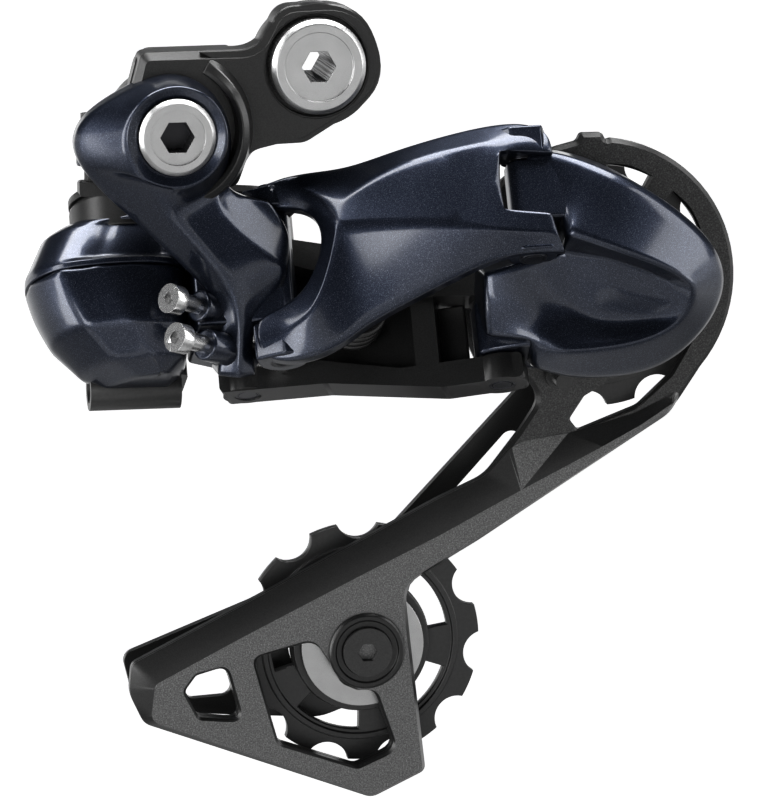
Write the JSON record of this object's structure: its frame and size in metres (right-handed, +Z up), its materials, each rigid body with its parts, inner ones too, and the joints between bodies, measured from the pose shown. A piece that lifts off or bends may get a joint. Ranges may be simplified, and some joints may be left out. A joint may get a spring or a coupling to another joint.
{
  "type": "rear bicycle derailleur",
  "caption": "Rear bicycle derailleur with an electric shift unit, a slanted four-bar linkage and a sprung cage that holds two toothed pulleys.",
  "frame": {"origin": "on the hanger bolt's axis, at the bracket face that seats against the frame's hanger", "axes": "+X forward on the bicycle, +Y inboard towards the wheel along the hanger bolt, +Z up"},
  "size_m": [0.1235, 0.0521, 0.1403],
  "materials": {
    "painted": "gloss",
    "black_anodised": "satin",
    "bolt_steel": "satin",
    "plate": "satin",
    "resin": "satin",
    "black_steel": "satin",
    "pin_steel": "satin",
    "bronze": "satin",
    "seal": "matte",
    "board": "matte"
  },
  "bodies": {
    "bracket": {"bracket_link": "black_anodised", "hanger_bolt": "bolt_steel", "hanger_snap_ring": "black_steel", "b_axle_bolt": "bolt_steel", "b_axle_bush": "bronze"},
    "knuckle": {"b_knuckle": "painted", "motor_housing_lower": "painted", "motor_housing_upper": "painted", "housing_gasket": "seal", "gear_cover": "painted", "housing_screws": "bolt_steel", "plug_socket": "resin", "plug_contacts": "bronze", "circuit_board": "board", "motor_can": "pin_steel", "motor_end_cap": "board", "reduction_pin": "pin_steel", "knuckle_outer_pin": "pin_steel", "knuckle_inner_pin": "pin_steel"},
    "outer_link": {"outer_link": "painted", "outer_link_bushes": "bronze"},
    "inner_link": {"inner_link": "black_anodised", "inner_link_bushes": "bronze", "output_gear": "pin_steel", "saver_spring": "black_steel", "saver_post": "black_anodised"},
    "lower_knuckle": {"p_knuckle": "painted", "cage_outer_pin": "pin_steel", "cage_inner_pin": "pin_steel", "axle_bush": "bronze", "seal_ring": "seal", "cage_spring": "black_steel"},
    "cage": {"cage_outer_plate": "plate", "cage_inner_plate": "plate", "cage_axle": "pin_steel", "cage_axle_bolt": "pin_steel", "cage_stop_pin": "black_steel", "guide_bolt": "black_steel", "tension_bolt": "black_steel", "guide_bush": "pin_steel", "tension_bush": "pin_steel", "guide_dust_caps": "pin_steel", "tension_dust_caps": "pin_steel", "bearing_inner_race": "pin_steel"},
    "guide_wheel": {"guide_pulley": "resin"},
    "tension_wheel": {"tension_pulley": "resin", "bearing_outer_race": "pin_steel", "bearing_balls": "pin_steel"},
    "reduction_wheel": {"reduction_gear": "pin_steel"},
    "motor_rotor": {"motor_pinion": "pin_steel"},
    "low_limit": {"low_limit_screw": "bolt_steel"},
    "high_limit": {"high_limit_screw": "bolt_steel"},
    "stop_adjuster": {"stop_screw": "bolt_steel"}
  },
  "joints": [
    {"name": "b_pivot", "type": "hinge", "parent": "bracket", "child": "knuckle", "pos_m": [-0.0248, 0, -0.0103], "axis": [0, 1, 0], "range_deg": [0, 15], "stiffness_Nm_per_rad": 1, "springref_deg": -20.05},
    {"name": "shift", "type": "hinge", "parent": "knuckle", "child": "outer_link", "pos_m": [-0.0068, -0.012, -0.0473], "axis": [0, 0.5, 0.866], "range_deg": [0, 58]},
    {"name": "inner_link_swing", "type": "hinge", "parent": "knuckle", "child": "inner_link", "pos_m": [-0.0108, 0.00186, -0.0553], "axis": [0, 0.5, 0.866], "range_deg": [0, 58]},
    {"name": "lower_knuckle_swing", "type": "hinge", "parent": "outer_link", "child": "lower_knuckle", "pos_m": [0.03438, -0.02414, -0.04029], "axis": [0, 0.5, 0.866], "range_deg": [-58, 0]},
    {"name": "cage_pivot", "type": "hinge", "parent": "lower_knuckle", "child": "cage", "pos_m": [0.055, 0, -0.036], "axis": [0, -1, 0], "range_deg": [0, 95], "stiffness_Nm_per_rad": 0.15, "springref_deg": -68.75},
    {"name": "guide_spin", "type": "hinge", "parent": "cage", "child": "guide_wheel", "pos_m": [0.0525, 0.011, -0.0416], "axis": [0, 1, 0], "continuous": true},
    {"name": "tension_spin", "type": "hinge", "parent": "cage", "child": "tension_wheel", "pos_m": [0.0102, 0.011, -0.1034], "axis": [0, 1, 0], "continuous": true},
    {"name": "reduction_spin", "type": "hinge", "parent": "knuckle", "child": "reduction_wheel", "pos_m": [-0.02099, 0.01366, -0.02978], "axis": [0, 0.5, 0.866], "range_deg": [-186.1, 0.5]},
    {"name": "motor_spin", "type": "hinge", "parent": "knuckle", "child": "motor_rotor", "pos_m": [-0.03069, 0.01156, -0.02857], "axis": [0, 0.5, 0.866], "range_deg": [-0.5, 557.3]},
    {"name": "low_limit_turn", "type": "hinge", "parent": "knuckle", "child": "low_limit", "pos_m": [-0.0238, -0.01535, -0.0441], "axis": [0.8017, 0.5177, -0.2989], "range_deg": [-360, 360]},
    {"name": "high_limit_turn", "type": "hinge", "parent": "knuckle", "child": "high_limit", "pos_m": [-0.0243, -0.0119, -0.03812], "axis": [0.8017, 0.5177, -0.2989], "range_deg": [-360, 360]},
    {"name": "stop_screw_turn", "type": "hinge", "parent": "knuckle", "child": "stop_adjuster", "pos_m": [-0.0372, -0.0012, -0.015], "axis": [0, 0, 1], "range_deg": [-360, 360]}
  ],
  "couplings": [
    {"joint": "inner_link_swing", "follows": "shift", "ratio": 1},
    {"joint": "lower_knuckle_swing", "follows": "shift", "ratio": -1},
    {"joint": "reduction_spin", "follows": "shift", "ratio": -3.2},
    {"joint": "motor_spin", "follows": "shift", "ratio": 9.6}
  ]
}
